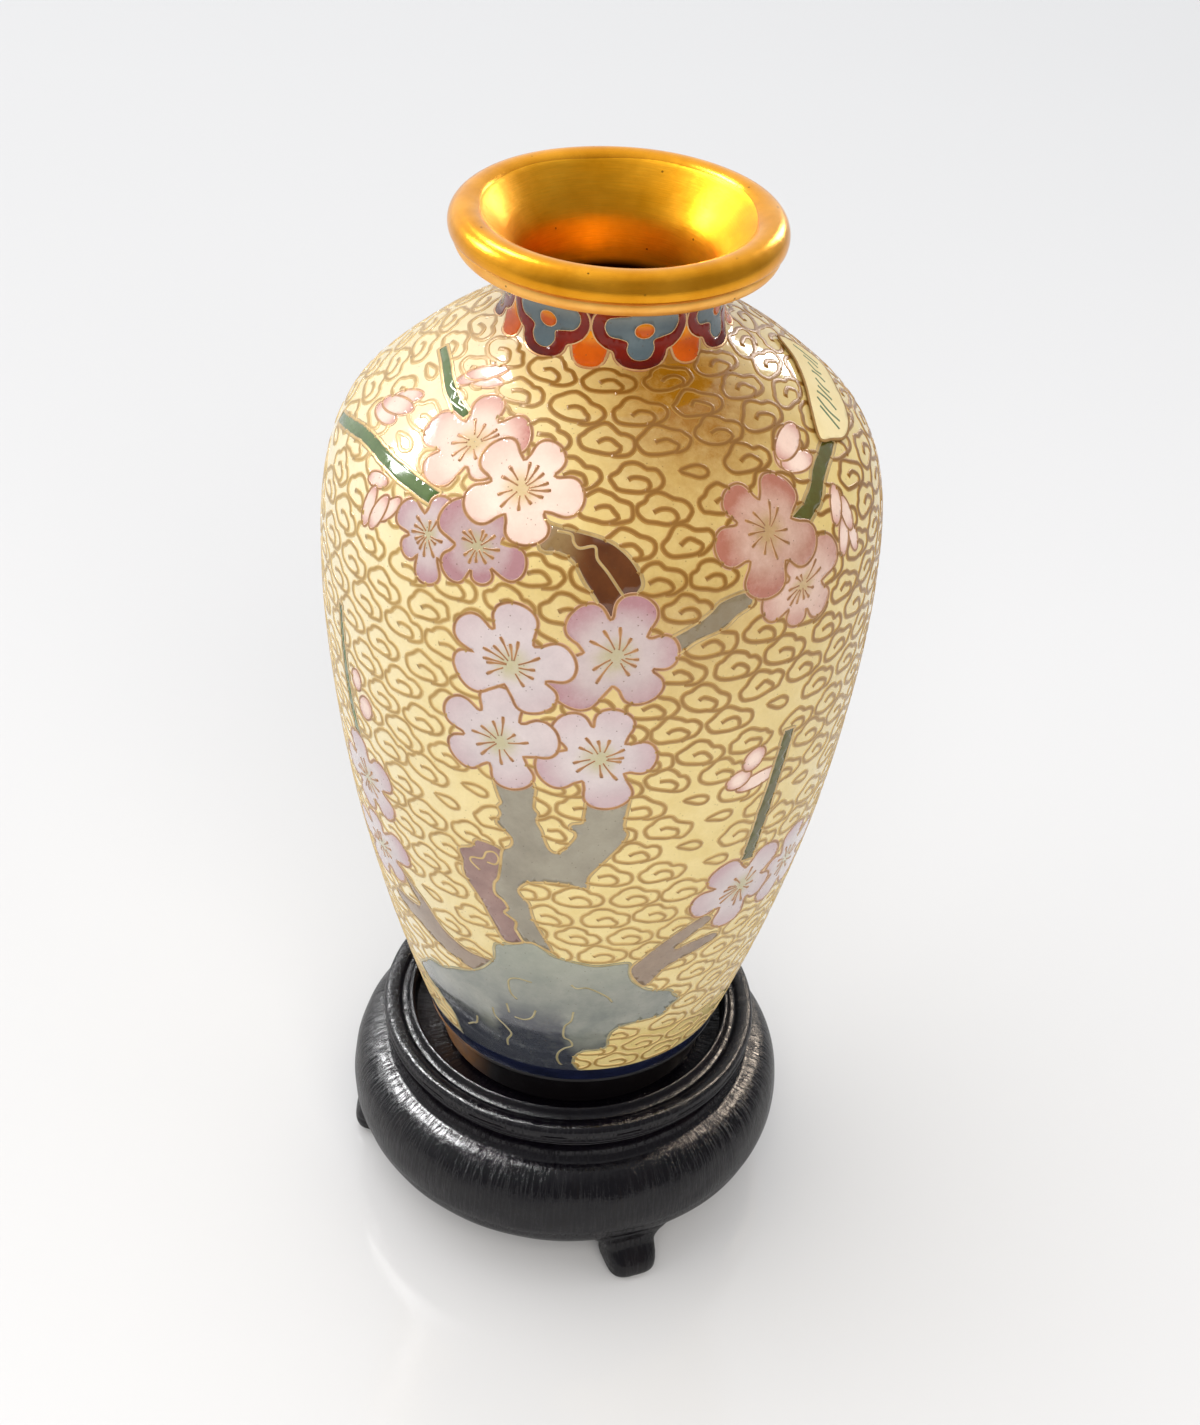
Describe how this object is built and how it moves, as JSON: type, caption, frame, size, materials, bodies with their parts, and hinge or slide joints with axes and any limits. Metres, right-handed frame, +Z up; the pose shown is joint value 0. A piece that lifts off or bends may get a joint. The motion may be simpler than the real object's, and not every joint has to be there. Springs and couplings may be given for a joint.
{
  "type": "cloisonne vase",
  "caption": "Round-bellied cloisonne enamel vase with blossoming branches on a cream cloud ground, red neck band and gilt rim, resting in a dark lacquered wooden stand.",
  "frame": {"origin": "on the floor under the stand's feet, on the vase's vertical axis, which is the centre of the bounding box's bottom", "axes": "+Z up along the vase's axis; -Y is the decorated front with the trunk; +X is to the right when looking at the front"},
  "size_m": [0.0878, 0.0878, 0.1911],
  "materials": {
    "enamel_cream": "polished",
    "enamel_lilac": "polished",
    "enamel_pink": "polished",
    "enamel_bark": "polished",
    "enamel_brown": "polished",
    "enamel_root": "polished",
    "enamel_rock": "polished",
    "enamel_green": "polished",
    "enamel_navy": "polished",
    "enamel_red": "polished",
    "counter_enamel": "satin",
    "copper": "satin",
    "gilt": "gloss",
    "lacquered_wood": "polished",
    "label_paper": "matte"
  },
  "bodies": {
    "stand": {"stand_body": "lacquered_wood", "stand_foot_front": "lacquered_wood", "stand_foot_left": "lacquered_wood", "stand_foot_back": "lacquered_wood"},
    "vase": {"cloud_ground": "enamel_cream", "cloud_panel_1": "enamel_cream", "cloud_panel_2": "enamel_cream", "cloud_panel_3": "enamel_cream", "blossom_upper_mauve": "enamel_lilac", "blossom_upper_side": "enamel_lilac", "blossom_centre_left": "enamel_lilac", "blossom_centre_lower": "enamel_lilac", "blossom_centre_base": "enamel_lilac", "blossom_centre_right": "enamel_lilac", "blossom_low_right": "enamel_lilac", "blossom_low_far_right": "enamel_lilac", "blossom_low_left": "enamel_lilac", "blossom_low_far_left": "enamel_lilac", "blossom_back_high": "enamel_lilac", "blossom_back_low": "enamel_lilac", "blossom_upper_front": "enamel_pink", "blossom_upper_back": "enamel_pink", "blossom_right_front": "enamel_pink", "blossom_right_back": "enamel_pink", "left_bud_low": "enamel_pink", "left_bud_side": "enamel_pink", "left_bud_high": "enamel_pink", "left_bud_middle": "enamel_pink", "right_bud_low": "enamel_pink", "right_bud_high": "enamel_pink", "right_bud_middle": "enamel_pink", "trunk": "enamel_bark", "side_branch": "enamel_bark", "upper_branch": "enamel_brown", "back_branch": "enamel_brown", "trunk_root": "enamel_root", "left_branch": "enamel_root", "right_branch": "enamel_root", "rock": "enamel_rock", "left_twig_low": "enamel_green", "left_twig_high": "enamel_green", "right_twig_high": "enamel_green", "right_twig_low": "enamel_green", "left_twig_side": "enamel_green", "foot_band_enamel": "enamel_navy", "neck_band_enamel": "enamel_red", "counter_enamel_inside": "counter_enamel", "counter_enamel_base": "counter_enamel", "copper_body_lower": "copper", "copper_body_upper": "copper", "base_plate": "copper", "neck_tube": "gilt", "mouth_lip_band": "gilt", "mouth_rim_bead": "gilt", "foot_ring": "gilt", "foot_edge_ring": "gilt", "paper_label": "label_paper"}
  },
  "joints": [
    {"name": "vase_lift", "type": "slide", "parent": "stand", "child": "vase", "axis": [0, 0, 1], "range_m": [0, 0.05]}
  ]
}
